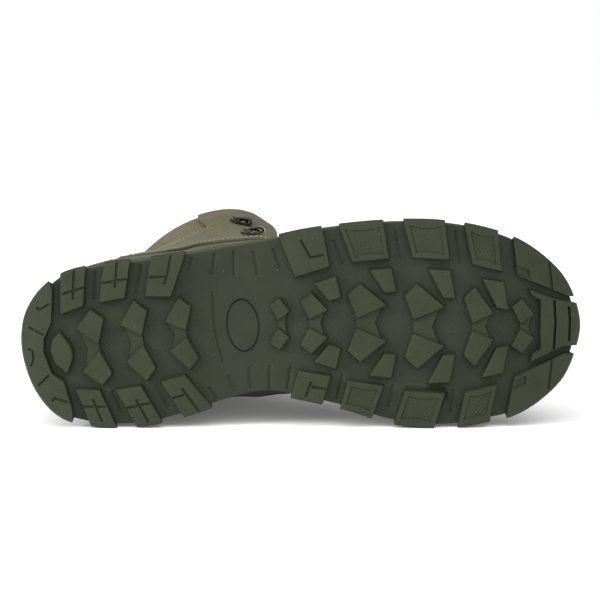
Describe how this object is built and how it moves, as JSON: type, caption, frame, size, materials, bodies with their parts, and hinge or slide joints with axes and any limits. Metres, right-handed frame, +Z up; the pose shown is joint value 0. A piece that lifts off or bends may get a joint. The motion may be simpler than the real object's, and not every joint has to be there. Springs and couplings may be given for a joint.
{
  "type": "tactical boot",
  "caption": "Lace-up tactical boot for the right foot, lying on its medial side, with a deep-lugged rubber sole, hollow leather and textile upper, speed hooks and an open collar.",
  "frame": {"origin": "centre of the bounding box on the floor under the lying boot", "axes": "+X from heel to toe, +Y from the sole to the collar, +Z up, towards the boot's lateral side"},
  "size_m": [0.305, 0.2472, 0.1143],
  "materials": {
    "outsole_rubber": "matt moulded rubber",
    "midsole_rubber": "matt moulded rubber",
    "foot_bed": "plain felt",
    "upper_leather": "nubuck",
    "tongue_fabric": "padded textile",
    "eyestay_leather": "nubuck",
    "gunmetal": "dark polished",
    "lace_cord": "braided"
  },
  "bodies": {
    "root": {"outsole": "outsole_rubber", "midsole": "midsole_rubber", "insole": "foot_bed", "upper": "upper_leather", "tongue": "tongue_fabric", "eyestay_lateral": "eyestay_leather", "eyestay_medial": "eyestay_leather", "hook_lateral_1": "gunmetal", "hook_lateral_2": "gunmetal", "hook_medial_1": "gunmetal", "hook_medial_2": "gunmetal", "eyelet_lateral_1": "gunmetal", "eyelet_lateral_2": "gunmetal", "eyelet_lateral_3": "gunmetal", "eyelet_lateral_4": "gunmetal", "eyelet_lateral_5": "gunmetal", "eyelet_medial_1": "gunmetal", "eyelet_medial_2": "gunmetal", "eyelet_medial_3": "gunmetal", "eyelet_medial_4": "gunmetal", "eyelet_medial_5": "gunmetal", "lace": "lace_cord"}
  },
  "joints": []
}
